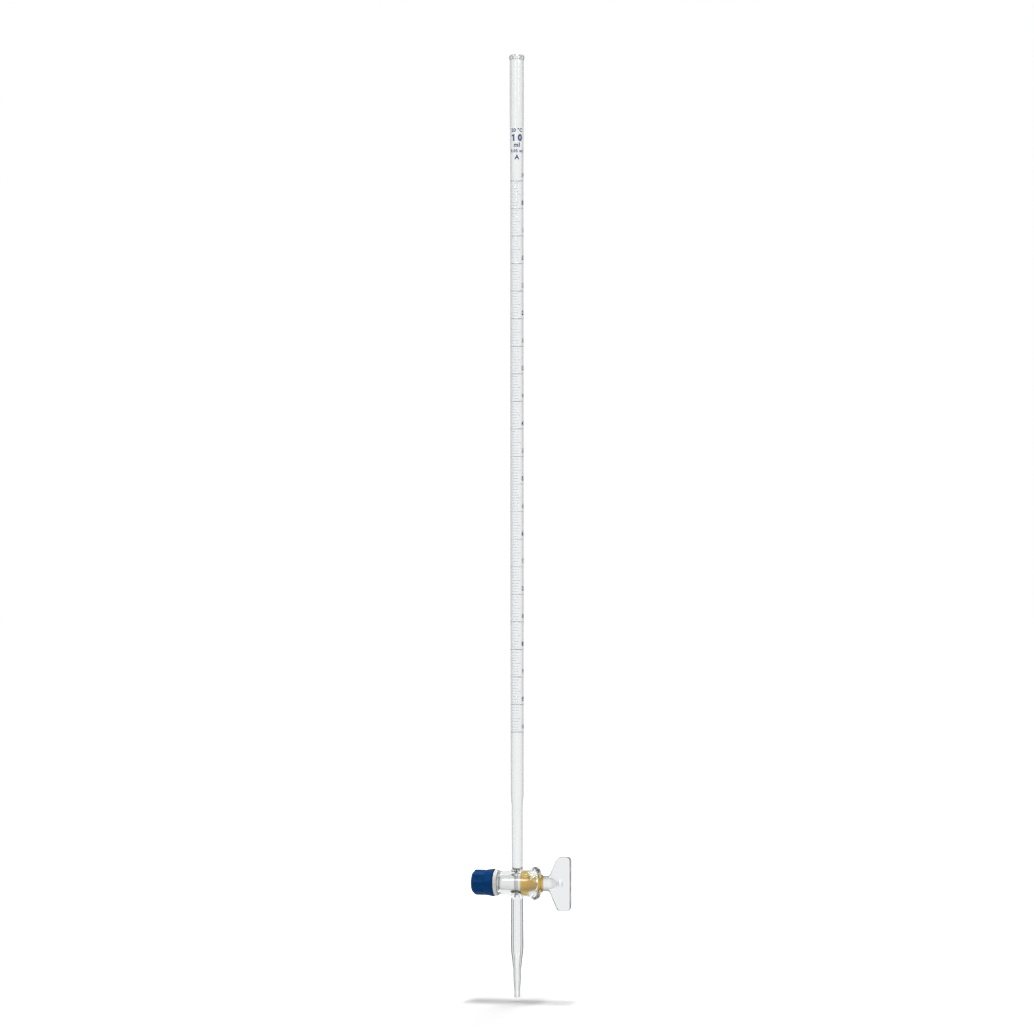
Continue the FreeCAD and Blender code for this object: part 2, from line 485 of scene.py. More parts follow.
def combine(base: bpy.types.Object, others: Sequence[bpy.types.Object], operation: str) -> None:
    """Join solids to a base or cut them from it, and delete them.

    Args:
        base: the solid that stays.
        others: the solids that are used up.
        operation: UNION or DIFFERENCE.
    """
    for other in others:
        step = base.modifiers.new("step", "BOOLEAN")
        step.operation = operation
        step.solver = "EXACT"
        step.object = other
    applied(base)
    for other in others:
        bpy.data.objects.remove(other)
    shape = bmesh.new()
    shape.from_mesh(base.data)
    bmesh.ops.remove_doubles(shape, verts=shape.verts, dist=SLIVER)
    bmesh.ops.dissolve_degenerate(shape, edges=shape.edges, dist=SLIVER)
    bmesh.ops.triangulate(shape, faces=[f for f in shape.faces if len(f.verts) > 4], ngon_method="BEAUTY")
    shape.to_mesh(base.data)
    shape.free()


def face_outward(shape: bmesh.types.BMesh) -> None:
    """Turn each closed part of a mesh so that its faces look outward.

    Args:
        shape: the mesh, changed in place.
    """
    bmesh.ops.recalc_face_normals(shape, faces=shape.faces)
    left = set(shape.faces)
    while left:
        part = [left.pop()]
        for face in part:
            near = {other for edge in face.edges for other in edge.link_faces} & left
            left -= near
            part.extend(near)
        volume = 0.0
        for face in part:
            first, *rest = [vertex.co for vertex in face.verts]
            volume += sum(first.dot(a.cross(b)) for a, b in zip(rest, rest[1:]))
        if volume < 0.0:
            bmesh.ops.reverse_faces(shape, faces=part)


def soften(item: bpy.types.Object, angle: float = 32.0) -> bpy.types.Object:
    """Shade a mesh smooth up to an edge angle in degrees."""
    item.data.shade_smooth()
    item.data.set_sharp_from_angle(angle=math.radians(angle))
    return item


def joined(name: str, items: Sequence[bpy.types.Object]) -> bpy.types.Object:
    """Join plain meshes into one object.

    Args:
        name: the result's name.
        items: the objects that are used up.

    Returns:
        The joined object.
    """
    shape = bmesh.new()
    for item in items:
        shape.from_mesh(item.data)
        bpy.data.objects.remove(item)
    return bare_object(name, shape)


def dress(item: bpy.types.Object, materials: Sequence[bpy.types.Material]) -> None:
    """Give a piece its materials, in place of any that it has.

    Args:
        item: the piece.
        materials: its materials in slot order.
    """
    item.data.materials.clear()
    for material in materials:
        item.data.materials.append(material)


def paint_where(item: bpy.types.Object, index: int, test: Callable[[Vector], bool]) -> None:
    """Give a material to the faces whose middle passes a test.

    Args:
        item: the piece.
        index: the material's place in its list.
        test: takes a face's middle in millimetres, with z measured from the stopcock's axis.
    """
    for face in item.data.polygons:
        middle = face.center / MM
        middle.z -= AXIS
        if test(middle):
            face.material_index = index


def finish_piece(item: bpy.types.Object, body: str,
                 nodes: Sequence[str] = ()) -> bpy.types.Object:
    """Tie a dressed piece to its body.

    Args:
        item: the piece.
        body: the body that carries it.
        nodes: CAD nodes that it stands for.

    Returns:
        The finished piece.
    """
    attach(item, body)
    if nodes:
        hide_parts(*nodes)
    log.info("%s: %d faces on %s", item.name, len(item.data.polygons), body)
    return item


@dataclass(frozen=True)
class Taper:
    """The cone that the key and its ground bore share, one part in ten."""

    at_port: float = 4.72
    slope: float = 0.05

    def radius(self, along: float) -> float:
        """Return the cone's radius at this distance along the stopcock."""
        return self.at_port + self.slope * along


@dataclass
class GlassBody:
    """Tube, stem, barrel and jet, fused by the glassblower into one piece."""

    bore: float = 3.0643
    wall: float = 1.05
    height: float = 579.6
    lip: float = 3.2
    shoulder: float = 118.8
    stem: float = 3.54
    stem_bore: float = 2.5
    port: float = 1.2
    jet: float = 3.87
    jet_bore: float = 1.45
    orifice: float = 0.45
    taper: Taper = Taper()
    clearance: float = 0.04
    left: float = -11.5
    right: float = 14.5
    barrel: float = 7.3
    bead: float = 3.2
    bead_middle: float = 7.1
    collar_start: float = 5.2
    collar_end: float = 9.8
    collar_spread: float = 0.9

    def tube_outline(self) -> list[Point]:
        """Return the outside of the tube and jet, from the tip up to the mouth."""
        tube = self.bore + self.wall
        mouth = tube + SWELL
        top = self.height
        return rounded([
            (0.0, 0.0),
            (0.0, 1.69, 0.45),
            (5.4, 1.72, 6.0),
            (10.8, 2.2, 5.0),
            (14.5, 2.24, 8.0),
            (18.4, 2.34, 2.4),
            (20.6, 2.84, 2.4),
            (23.6, 3.02, 4.0),
            (27.2, 3.66, 5.0),
            (31.4, self.jet, 6.0),
            (AXIS, self.jet),
            (AXIS, self.stem),
            (self.shoulder - 0.6, self.stem, 2.0),
            (self.shoulder + 2.0, tube - 0.3, 2.0),
            (self.shoulder + 5.6, tube, 3.0),
            (SWELL_START, tube, 80.0),
            (SWELL_END, mouth, 80.0),
            (top - 2.9, mouth - 0.02, 0.5),
            (top - 2.2, mouth + 0.34, 0.5),
            (top - 0.7, mouth + 0.34, 0.8),
            (top, mouth - 0.5, 0.6),
            (top, 0.0),
        ], 8)

    def upper_bore(self) -> list[Point]:
        """Return the measuring bore from above the mouth down to the port in the barrel."""
        top = self.height
        return rounded([
            (top + 1.0, 0.0),
            (top + 1.0, self.bore + 0.9),
            (top, self.bore + 0.45, 0.3),
            (top - 1.3, self.bore, 1.2),
            (self.shoulder + 5.0, self.bore, 4.0),
            (self.shoulder + 0.6, self.stem_bore, 3.0),
            (AXIS + 9.4, self.stem_bore, 1.6),
            (AXIS + 7.2, self.port, 1.0),
            (AXIS, self.port),
            (AXIS, 0.0),
        ])

    def lower_bore(self) -> list[Point]:
        """Return the jet's bore from the barrel down to the orifice."""
        return rounded([
            (AXIS, 0.0),
            (AXIS, self.port),
            (AXIS - 7.6, self.port, 0.8),
            (AXIS - 8.6, self.jet_bore, 0.8),
            (29.5, self.jet_bore, 6.0),
            (21.5, 1.18, 4.0),
            (17.5, 0.82, 4.0),
            (5.5, 0.62, 6.0),
            (3.6, self.orifice, 3.0),
            (-0.6, self.orifice),
            (-0.6, 0.0),
        ])

    def barrel_outline(self) -> list[Point]:
        """Return the outside of the barrel with the heavy bead round its wide mouth."""
        barrel = [
            (self.left, 0.0),
            (self.left, self.barrel, 1.1),
            (-8.0, self.barrel, 14.0),
            (6.4, 8.5, 3.0),
            (8.3, 8.66, 0.6),
        ]
        arc = []
        for k in range(31):
            angle = math.radians(150.0 - 5.0 * k)
            along = self.right - self.bead + self.bead * math.cos(angle)
            arc.append((along, self.bead_middle + self.bead * math.sin(angle)))
        return rounded([*barrel, *arc, (self.right, 0.0)], 12)

    def collar(self, radius: float, direction: float, name: str) -> bpy.types.Object:
        """Make the flare where an arm runs into the barrel.

        Args:
            radius: the arm's radius.
            direction: 1 for the upper arm, -1 for the lower one.
            name: the object's name.

        Returns:
            The flared collar.
        """
        steps, skin = 12, 0.005
        last = self.collar_end + 0.05
        points: list[Point] = [(AXIS + direction * self.collar_start, 0.0)]
        for k in range(steps + 1):
            along = self.collar_start + (self.collar_end - self.collar_start) * k / steps
            flare = self.collar_spread * ((9.9 - along) / 4.7) ** 2.2
            points.append((AXIS + direction * along, radius + skin + flare))
        # The end is steep, so that no surface of the collar nearly meets the arm's bore.
        points.append((AXIS + direction * last, radius - 0.4))
        points.append((AXIS + direction * last, 0.0))
        return turned(name, points, Lie.UPRIGHT)

    def seat(self, along: float) -> float:
        """Return the ground bore's radius at this distance along the barrel."""
        return self.taper.radius(along) + self.clearance

    def key_bore(self) -> list[Point]:
        """Return the tapered ground bore, a little past both ends of the barrel."""
        return [
            (self.left - 1.0, 0.0),
            (self.left - 1.0, self.seat(self.left) + 0.4),
            (self.left, self.seat(self.left) + 0.25),
            (self.left + 0.25, self.seat(self.left)),
            (0.0, self.seat(0.0)),
            (self.right - 0.3, self.seat(self.right)),
            (self.right, self.seat(self.right) + 0.3),
            (self.right + 1.0, self.seat(self.right) + 0.6),
            (self.right + 1.0, 0.0),
        ]

    def on_barrel(self, middle: Vector) -> bool:
        """Tell whether a face lies on the barrel or its bead."""
        return abs(middle.z) < 8.8 or middle.x > 5.5

    def on_seat(self, middle: Vector) -> bool:
        """Tell whether a face lies on the ground bore."""
        inside = self.left + 0.3 < middle.x < self.right - 0.35
        return inside and abs(math.hypot(middle.y, middle.z) - self.seat(middle.x)) < 0.03

    def on_jet(self, middle: Vector) -> bool:
        """Tell whether a face lies on the jet's outside."""
        return middle.z < -10.0 and 1.5 < math.hypot(middle.x, middle.y) < 5.5

    def in_tube(self, middle: Vector) -> bool:
        """Tell whether a face lies on the bore of the tube, stem or jet."""
        away = math.hypot(middle.x, middle.y)
        if middle.z > self.shoulder - AXIS:
            return away < self.bore + 0.4
        return abs(middle.z) > 9.2 and away < (self.stem_bore + 0.3 if middle.z > 0 else 1.5)

    def on_lip(self, middle: Vector) -> bool:
        """Tell whether a face lies on the beaded lip."""
        return middle.z > self.height - AXIS - self.lip

    def build(self, glasses: dict[BodyGlass, bpy.types.Material]) -> bpy.types.Object:
        """Build the glass in one closed mesh and tie it to its body.

        Args:
            glasses: the material of each stretch.

        Returns:
            The finished piece.
        """
        body = turned("burette_glass", self.tube_outline(), Lie.UPRIGHT)
        barrel = turned("barrel", self.barrel_outline(), Lie.LYING, FINE_ROUND)
        collars = [self.collar(self.stem, 1.0, "upper"), self.collar(self.jet, -1.0, "lower")]
        combine(body, [barrel, *collars], "UNION")
        cuts = [
            turned("key_bore", self.key_bore(), Lie.LYING, FINE_ROUND),
            turned("upper_bore", self.upper_bore(), Lie.UPRIGHT),
            turned("lower_bore", self.lower_bore(), Lie.UPRIGHT),
        ]
        combine(body, cuts, "DIFFERENCE")
        soften(body)
        dress(body, [glasses[glass] for glass in BodyGlass])
        # Each stretch of the glass gets its own strength of painted edge shade.
        paint_where(body, BodyGlass.BARREL, self.on_barrel)
        paint_where(body, BodyGlass.GROUND, self.on_seat)
        paint_where(body, BodyGlass.JET, self.on_jet)
        paint_where(body, BodyGlass.BORE, self.in_tube)
        paint_where(body, BodyGlass.LIP, self.on_lip)
        return finish_piece(body, "glass_body", ["graduated_tube", "stopcock_body"])


@dataclass
class Key:
    """The key: spindle, ground cone with its cross bore, neck and pressed handle."""

    taper: Taper = Taper()
    small_end: float = -11.0
    large_end: float = 16.0
    spindle: float = 3.0
    spindle_end: float = -26.0
    flat: float = 2.4
    neck: float = 4.85
    sleeve_start: float = 3.2
    sleeve_seat: float = 4.55
    seat_gap: float = 0.03
    cross_bore: float = 1.0
    grease: float = 0.05
    left: float = 20.4
    right: float = 33.8
    half_height: float = 16.75
    root: float = 4.9
    run: float = 5.4
    thick: float = 6.2
    corner: float = 2.6
    grid: float = 0.28
    pinch: float = 0.6
    dish: float = 0.26
    thread_start: float = -25.4
    thread_end: float = -15.4
    thread_root: float = 2.85
    thread_crest: float = 3.3
    pitch: float = 2.0

    def plug_outline(self) -> list[Point]:
        """Return the outline of spindle, cone, sleeve seat and neck."""
        return rounded([
            (self.spindle_end, 0.0),
            (self.spindle_end, self.spindle, 0.5),
            (self.small_end - 0.4, self.spindle, 0.3),
            (self.small_end, self.taper.radius(self.small_end), 0.25),
            (self.sleeve_start, self.taper.radius(self.sleeve_start), 0.04),
            (self.sleeve_start, self.sleeve_seat, 0.04),
            (self.large_end - 0.2, self.sleeve_seat, 0.1),
            (self.large_end, self.neck - 0.05, 0.1),
            (self.left - 0.6, self.neck - 0.05),
            (self.left - 0.6, 0.0),
        ], 6)

    def plate(self) -> bpy.types.Object:
        """Make the pressed plate with its neck, thick rim and thumb dimples."""
        half = self.half_height
        corners = rounded([
            (self.left, 0.0),
            (self.left, -self.root, 0.8),
            (self.left + self.run, -half, self.corner),
            (self.right, -half, self.corner),
            (self.right, half, self.corner),
            (self.left + self.run, half, self.corner),
            (self.left, self.root, 0.8),
            (self.left, 0.01),
        ], 8)
        shape = bmesh.new()
        front = -self.thick / 2 * MM
        rim = [shape.verts.new(Vector((a * MM, front, AXIS_Z + z * MM))) for a, z in corners]
        face = shape.faces.new(rim)
        swept = bmesh.ops.extrude_face_region(shape, geom=[face])
        moved = [g for g in swept["geom"] if isinstance(g, bmesh.types.BMVert)]
        bmesh.ops.translate(shape, verts=moved, vec=Vector((0.0, self.thick * MM, 0.0)))
        bmesh.ops.recalc_face_normals(shape, faces=shape.faces)
        plate = bare_object("handle_plate", shape)
        neck = turned("neck", rounded([
            (self.left - 2.6, 0.0),
            (self.left - 2.6, self.neck),
            (self.left + 0.4, self.neck, 3.0),
            (self.left + 5.4, 3.0, 3.0),
            (self.left + 7.6, 2.5),
            (self.left + 7.6, 0.0),
        ]), Lie.LYING)
        combine(plate, [neck], "UNION")
        remesh = plate.modifiers.new("grid", "REMESH")
        remesh.mode = "VOXEL"
        remesh.voxel_size = self.grid * MM
        relax = plate.modifiers.new("relax", "SMOOTH")
        relax.factor = 0.5
        relax.iterations = 34
        applied(plate)
        self.melt_root(plate)
        self.press_dimples(plate)
        return plate

    def melt_root(self, plate: bpy.types.Object) -> None:
        """Let the neck run softly into the plate, as pressed glass does.

        Args:
            plate: the plate with its neck, changed in place.
        """
        shape = bmesh.new()
        shape.from_mesh(plate.data)
        passes = 90
        for k in range(passes):
            share = k / passes
            near = 3.0 * share - 2.2
            far = 12.0 - 3.0 * share
            reach = (9.0 - 2.0 * share) * MM
            root = [v for v in shape.verts
                    if near < v.co.x / MM - self.left < far and abs(v.co.z - AXIS_Z) < reach]
            bmesh.ops.smooth_vert(shape, verts=root, factor=0.5,
                                  use_axis_x=True, use_axis_y=True, use_axis_z=False)
        shape.to_mesh(plate.data)
        shape.free()

    def press_dimples(self, plate: bpy.types.Object) -> None:
        """Press a shallow dish and a pinch line into both faces of the plate.

        Args:
            plate: the plate, changed in place.
        """
        for vertex in plate.data.vertices:
            x = vertex.co.x / MM - (self.left + 6.6)
            z = (vertex.co.z - AXIS_Z) / MM
            pinch = self.pinch * sum(math.exp(-((x - s) ** 2 / 0.9 + z * z / 4.5)) for s in (-0.6, 1.2))
            dish = self.dish * math.exp(-((x - 3.2) ** 2 / 26.0 + z * z / 90.0))
            side = 1.0 if vertex.co.y > 0 else -1.0
            if abs(vertex.co.y) / MM > 1.2:
                vertex.co.y -= side * (pinch + dish) * MM

    def flat_cutter(self) -> bpy.types.Object:
        """Make the block that cuts the spindle's flat."""
        shape = bmesh.new()
        bmesh.ops.create_cube(shape, size=1.0)
        start = self.spindle_end - 1.0
        length = self.small_end - self.spindle_end + 1.0
        for vertex in shape.verts:
            vertex.co = Vector((
                (start + (vertex.co.x + 0.5) * length) * MM,
                vertex.co.y * 8.0 * MM,
                AXIS_Z + (self.flat + (vertex.co.z + 0.5) * 3.0) * MM,
            ))
        return bare_object("flat", shape)

    def on_cone(self, middle: Vector) -> bool:
        """Tell whether a face lies on the ground cone."""
        away = math.hypot(middle.y, middle.z)
        inside = self.small_end + 0.2 < middle.x < self.sleeve_start
        return inside and abs(away - self.taper.radius(middle.x)) < 0.03

    def paint_rim(self, key: bpy.types.Object) -> None:
        """Give the handle's narrow sides the rim glass, whose painted shade is darker.

        Args:
            key: the key, dressed with its glasses.
        """
        for face in key.data.polygons:
            middle = face.center / MM
            outer = abs(middle.z - AXIS) > 5.5 or middle.x > self.right - 2.0
            # Painted shade: the narrow sides of the plate get the darker rim glass.
            if outer and middle.x > self.left + 1.0 and abs(face.normal.y) < 0.55:
                face.material_index = KeyGlass.RIM

    def build(self, glasses: dict[KeyGlass, bpy.types.Material]) -> bpy.types.Object:
        """Build the key in one closed mesh and tie it to its body.

        Args:
            glasses: the material of each stretch.

        Returns:
            The finished piece.
        """
        key = turned("key_glass_piece", self.plug_outline(), Lie.LYING)
        reach = 8.0
        hole = turned("cross_bore", [
            (AXIS - reach, 0.0),
            (AXIS - reach, self.cross_bore),
            (AXIS + reach, self.cross_bore),
            (AXIS + reach, 0.0),
        ], Lie.UPRIGHT, 48)
        combine(key, [hole, self.flat_cutter()], "DIFFERENCE")
        combine(key, [self.plate()], "UNION")
        soften(key)
        dress(key, [glasses[glass] for glass in KeyGlass])
        paint_where(key, KeyGlass.GROUND, self.on_cone)
        self.paint_rim(key)
        return finish_piece(key, "key", ["key_plug", "key_handle"])

    def build_sleeve(self, amber: bpy.types.Material) -> bpy.types.Object:
        """Build the amber sleeve, with its two rounded rims.

        Args:
            amber: the sleeve's plastic.

        Returns:
            The finished sleeve.
        """
        start = self.sleeve_start + self.seat_gap
        seat = self.sleeve_seat + self.seat_gap
        outline = rounded([
            (start + 4.0, seat),
            (start, seat, 0.08),
            (start, self.taper.radius(start) + self.grease, 0.08),
            (self.large_end, self.taper.radius(self.large_end) + self.grease, 0.3),
            (self.large_end, seat, 0.1),
            (start + 4.01, seat),
        ], 5)
        sleeve = soften(turned("amber_sleeve", outline, Lie.LYING, ring=True))
        dress(sleeve, [amber])
        return finish_piece(sleeve, "key", ["taper_sleeve"])

    def build_thread(self, glass: bpy.types.Material) -> bpy.types.Object:
        """Build the spindle's thread as one helical ridge, cut away at the flat.

        Args:
            glass: the spindle's glass.

        Returns:
            The finished thread.
        """
        start, end, root = self.thread_start, self.thread_end, self.thread_root
        foot, tip, count = 0.62, 0.18, 200
        section = [(-foot, root), (-tip, self.thread_crest), (tip, self.thread_crest), (foot, root)]
        shape = bmesh.new()
        rows = []
        for k in range(count + 1):
            share = k / count
            along = start + (end - start) * share
            angle = math.tau * (along - start) / self.pitch
            fade = min(1.0, share * 12, (1 - share) * 12)
            row = []
            for shift, radius in section:
                high = root + (radius - root) * fade
                spot = place(Lie.LYING, along + shift * (0.35 + 0.65 * fade), high, angle)
                spot.z = min(spot.z, AXIS_Z + self.flat * MM)
                row.append(shape.verts.new(spot))
            rows.append(row)
        fill_rows(shape, rows)
        shape.faces.new(rows[0])
        shape.faces.new(list(reversed(rows[-1])))
        bmesh.ops.recalc_face_normals(shape, faces=shape.faces)
        thread = soften(bare_object("spindle_thread", shape), 50.0)
        dress(thread, [glass])
        return finish_piece(thread, "key")


@dataclass
class Washer:
    """White washer with a hole that fits the spindle's flat."""

    left: float = -13.98
    right: float = -11.58
    radius: float = 8.1
    hole: float = 3.15
    flat: float = 2.55

    def build(self, plastic: bpy.types.Material) -> bpy.types.Object:
        """Build the washer and tie it to the key.

        Args:
            plastic: the washer's plastic.

        Returns:
            The finished washer.
        """
        outline = ring_outline(self.left, self.right, self.hole, self.radius, (0.2, 0.55, 0.45))
        washer = turned("white_washer", outline, Lie.LYING, ring=True)
        for vertex in washer.data.vertices:
            radius = outline[vertex.index // ROUND][1]
            if radius < self.hole + 0.3:
                vertex.co.z = min(vertex.co.z, AXIS_Z + (self.flat + radius - self.hole) * MM)
        soften(washer)
        dress(washer, [plastic])
        return finish_piece(washer, "key", ["thrust_washer"])


@dataclass
class SealRing:
    """Square-cut rubber ring between washer and nut."""

    left: float = -16.48
    right: float = -14.18
    hole: float = 3.5
    rim: float = 5.6

    def build(self, rubber: bpy.types.Material) -> bpy.types.Object:
        """Build the ring and tie it to its own body.

        Args:
            rubber: the ring's rubber.

        Returns:
            The finished ring.
        """
        outline = ring_outline(self.left, self.right, self.hole, self.rim, (0.3, 0.45, 0.45))
        ring = soften(turned("rubber_ring", outline, Lie.LYING, ring=True))
        dress(ring, [rubber])
        return finish_piece(ring, "ring", ["seal_ring"])


def geometry_tree(
        name: str, inputs: Sequence[tuple[str, str, Any]]) -> tuple[bpy.types.NodeTree, bpy.types.Node]:
    """Start a geometry tree.

    Args:
        name: the tree's name.
        inputs: name, socket type and default of each input.

    Returns:
        The tree and its input node.
    """
    tree = bpy.data.node_groups.new(name, "GeometryNodeTree")
    tree.interface.new_socket(name="Geometry", in_out="OUTPUT", socket_type="NodeSocketGeometry")
    for label, kind, value in inputs:
        socket = tree.interface.new_socket(name=label, in_out="INPUT", socket_type=kind)
        if value is not None:
            socket.default_value = value
    return tree, add_node(tree, "NodeGroupInput")


def end_tree(tree: bpy.types.NodeTree, geometry: bpy.types.NodeSocket,
             material: bpy.types.NodeSocket) -> None:
    """Close a geometry tree with Realize Instances and Set Material.

    Args:
        tree: the geometry tree.
        geometry: the geometry to give out.
        material: the material that it gets.
    """
    real = add_node(tree, "GeometryNodeRealizeInstances", inputs={"Geometry": geometry})
    dressed = add_node(tree, "GeometryNodeSetMaterial",
                       inputs={"Geometry": real.outputs[0], "Material": material})
    add_node(tree, "NodeGroupOutput", inputs={0: dressed.outputs[0]})


def grown(name: str, tree: bpy.types.NodeTree, values: dict[str, Any]) -> bpy.types.Object:
    """Run a geometry tree and keep its result as a plain mesh.

    Args:
        name: the new object's name.
        tree: the geometry tree.
        values: its input values by name.

    Returns:
        The object with a plain mesh.
    """
    item = bare_object(name, bmesh.new())
    step = item.modifiers.new("grow", "NODES")
    step.node_group = tree
    for socket in tree.interface.items_tree:
        if socket.item_type == "SOCKET" and socket.in_out == "INPUT" and socket.name in values:
            step[socket.identifier] = values[socket.name]
    return applied(item)


@dataclass
class Nut:
    """Blue retaining nut: eight broad ribs, a domed end and a flared skirt."""

    left: float = -28.0
    right: float = -14.2
    dome: float = 1.3
    core: float = 7.15
    rib_top: float = 7.85
    rib_radius: float = 2.0
    skirt_start: float = -20.4
    skirt: float = 8.55
    recess: float = 6.6
    recess_end: float = -16.68
    bore: float = 3.5
    depth: float = 12.0
    ribs: int = 8

    def shell_outline(self) -> list[Point]:
        """Return the outline of the nut's shell and its stepped hollow."""
        bottom = self.right - self.depth
        return rounded([
            (self.left, 0.0),
            (self.left, 5.9, 0.7),
            (self.left + self.dome, self.core - 0.05, 0.9),
            (self.skirt_start - 0.2, self.core + 0.05, 1.2),
            (self.skirt_start + 1.4, self.rib_top + 0.05, 1.2),
            (self.right - 0.5, self.skirt, 0.35),
            (self.right, self.skirt - 0.12, 0.25),
            (self.right, self.recess, 0.2),
            (self.recess_end, self.recess, 0.3),
            (self.recess_end, self.bore, 0.2),
            (bottom, self.bore, 0.2),
            (bottom, 0.0),
        ], 6)

    def rib_tree(self) -> bpy.types.NodeTree:
        """Return the geometry tree that sets the ribs round the nut."""
        tree, given = geometry_tree("nut_ribs", [
            ("Count", "NodeSocketInt", 8),
            ("Ring Radius", "NodeSocketFloat", 0.006),
            ("Rib Radius", "NodeSocketFloat", 0.002),
            ("Rib Length", "NodeSocketFloat", 0.006),
            ("Start", "NodeSocketFloat", -0.027),
            ("Axis Height", "NodeSocketFloat", AXIS_Z),
            ("Material", "NodeSocketMaterial", None),
        ])
        ball = add_node(tree, "GeometryNodeMeshUVSphere",
                        inputs={"Segments": 40, "Rings": 24, "Radius": given.outputs["Rib Radius"]})
        spot = add_node(tree, "GeometryNodeInputPosition")
        parts = add_node(tree, "ShaderNodeSeparateXYZ", inputs={0: spot.outputs[0]})
        upper = add_node(tree, "FunctionNodeCompare", {"data_type": "FLOAT", "operation": "GREATER_THAN"},
                         {0: parts.outputs[2], 1: 1e-5})
        stretch = add_node(tree, "ShaderNodeCombineXYZ", inputs={2: given.outputs["Rib Length"]})
        long = add_node(tree, "GeometryNodeSetPosition",
                        inputs={"Geometry": ball.outputs[0], "Selection": upper.outputs[0],
                                "Offset": stretch.outputs[0]})
        quarter = (0.0, math.pi / 2, 0.0)
        lying = add_node(tree, "GeometryNodeTransform",
                         inputs={"Geometry": long.outputs[0], "Rotation": quarter})
        circle = add_node(tree, "GeometryNodeMeshCircle",
                          inputs={"Vertices": given.outputs["Count"],
                                  "Radius": given.outputs["Ring Radius"]})
        start = add_node(tree, "ShaderNodeCombineXYZ",
                         inputs={0: given.outputs["Start"], 2: given.outputs["Axis Height"]})
        turned_ring = add_node(tree, "GeometryNodeTransform",
                               inputs={"Geometry": circle.outputs[0], "Translation": start.outputs[0],
                                       "Rotation": quarter})
        copies = add_node(tree, "GeometryNodeInstanceOnPoints",
                          inputs={"Points": turned_ring.outputs[0], "Instance": lying.outputs[0]})
        end_tree(tree, copies.outputs[0], given.outputs["Material"])
        return tree

    def build(self, plastic: bpy.types.Material) -> bpy.types.Object:
        """Build the nut and tie it to its body.

        Args:
            plastic: the nut's plastic.

        Returns:
            The finished nut.
        """
        start = self.left + self.dome + self.rib_radius * 0.62
        ribs = grown("ribs", self.rib_tree(), {
            "Count": self.ribs,
            "Ring Radius": (self.rib_top - self.rib_radius) * MM,
            "Rib Radius": self.rib_radius * MM,
            "Rib Length": (self.skirt_start + 0.4 - start) * MM,
            "Start": start * MM,
            "Axis Height": AXIS_Z,
            "Material": plastic,
        })
        nut = turned("blue_nut", self.shell_outline(), Lie.LYING)
        combine(nut, [ribs], "UNION")
        soften(nut, 28.0)
        dress(nut, [plastic])
        return finish_piece(nut, "nut", ["retaining_nut"])


@dataclass(frozen=True)
class PrintLine:
    """One line of print: its middle's height, the capitals' size, extra weight and spacing."""

    text: str
    height: float
    size: float
    weight: float
    spacing: float = 1.1
    flag: bool = False


